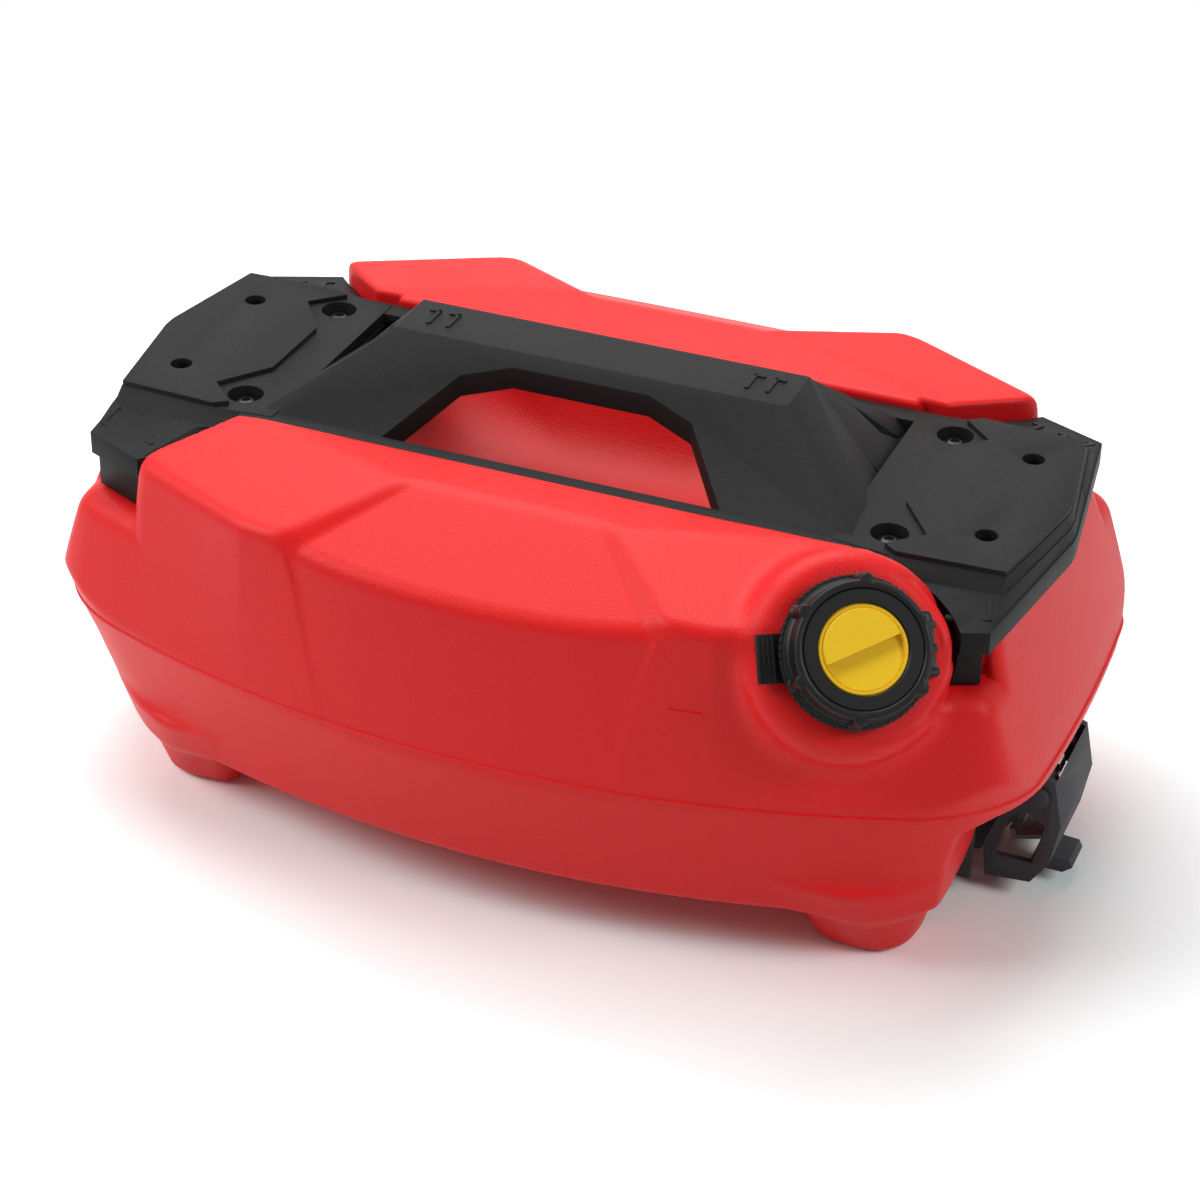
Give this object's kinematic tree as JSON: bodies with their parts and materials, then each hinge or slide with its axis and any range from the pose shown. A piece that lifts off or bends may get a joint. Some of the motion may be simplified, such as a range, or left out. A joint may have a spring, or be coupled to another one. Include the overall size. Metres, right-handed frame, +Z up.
{
  "type": "fuel can",
  "caption": "Low rectangular fuel can with a bolted carry plate, a slanted screw cap with a child-lock ring, and sprung lever latches under its ends for clamping to a rack.",
  "frame": {"origin": "on the floor, under the middle of the can", "axes": "+X along the length, towards the end the cap is at; -Y to the long side the cap leans to; +Z up"},
  "size_m": [0.546, 0.35, 0.248],
  "materials": {
    "red_shell": "satin, fine grain",
    "plate_black": "fine textured",
    "cap_black": "semi-gloss",
    "disc_yellow": "semi-gloss",
    "gasket_rubber": "matte",
    "insert_brass": "machined",
    "screw_black": "black coated",
    "latch_black": "semi-gloss",
    "latch_steel": "zinc plated",
    "catch_grey": "satin"
  },
  "bodies": {
    "can": {"tank": "red_shell", "plate_inserts": "insert_brass", "latch_inserts": "insert_brass", "carry_plate": "plate_black", "plate_screws": "screw_black", "lock_ring": "cap_black", "latch_housing_right": "latch_black", "latch_screws_right": "latch_steel", "latch_spring_right": "latch_steel", "latch_housing_left": "latch_black", "latch_screws_left": "latch_steel", "latch_spring_left": "latch_steel"},
    "tab": {"lock_tab": "cap_black"},
    "stopper": {"stopper_gasket": "gasket_rubber", "stopper_disc": "disc_yellow"},
    "collar": {"cap_collar": "cap_black"},
    "lever_right": {"latch_lever_right": "latch_black", "latch_pin_right": "latch_black", "latch_catch_right": "catch_grey"},
    "lever_left": {"latch_lever_left": "latch_black", "latch_pin_left": "latch_black", "latch_catch_left": "catch_grey"}
  },
  "joints": [
    {"name": "cap_rise", "type": "slide", "parent": "can", "child": "stopper", "axis": [0.4113, -0.6846, 0.6018], "range_m": [0, 0.01201]},
    {"name": "collar_turn", "type": "hinge", "parent": "stopper", "child": "collar", "pos_m": [0.1845, -0.134, 0.1925], "axis": [0.4113, -0.6846, 0.6018], "range_deg": [0, 720]},
    {"name": "lock_tab_press", "type": "hinge", "parent": "can", "child": "tab", "pos_m": [0.15868, -0.15161, 0.19385], "axis": [0.31, -0.5159, -0.7986], "range_deg": [0, 4], "stiffness_Nm_per_rad": 0.2},
    {"name": "lever_right_swing", "type": "hinge", "parent": "can", "child": "lever_right", "pos_m": [0.256, 0, 0.066], "axis": [0, -1, 0], "range_deg": [0, 90], "stiffness_Nm_per_rad": 0.05},
    {"name": "lever_left_swing", "type": "hinge", "parent": "can", "child": "lever_left", "pos_m": [-0.256, 0, 0.066], "axis": [0, 1, 0], "range_deg": [0, 90], "stiffness_Nm_per_rad": 0.05}
  ],
  "couplings": [
    {"joint": "cap_rise", "follows": "collar_turn", "m_per_rad": 0.00095493}
  ]
}
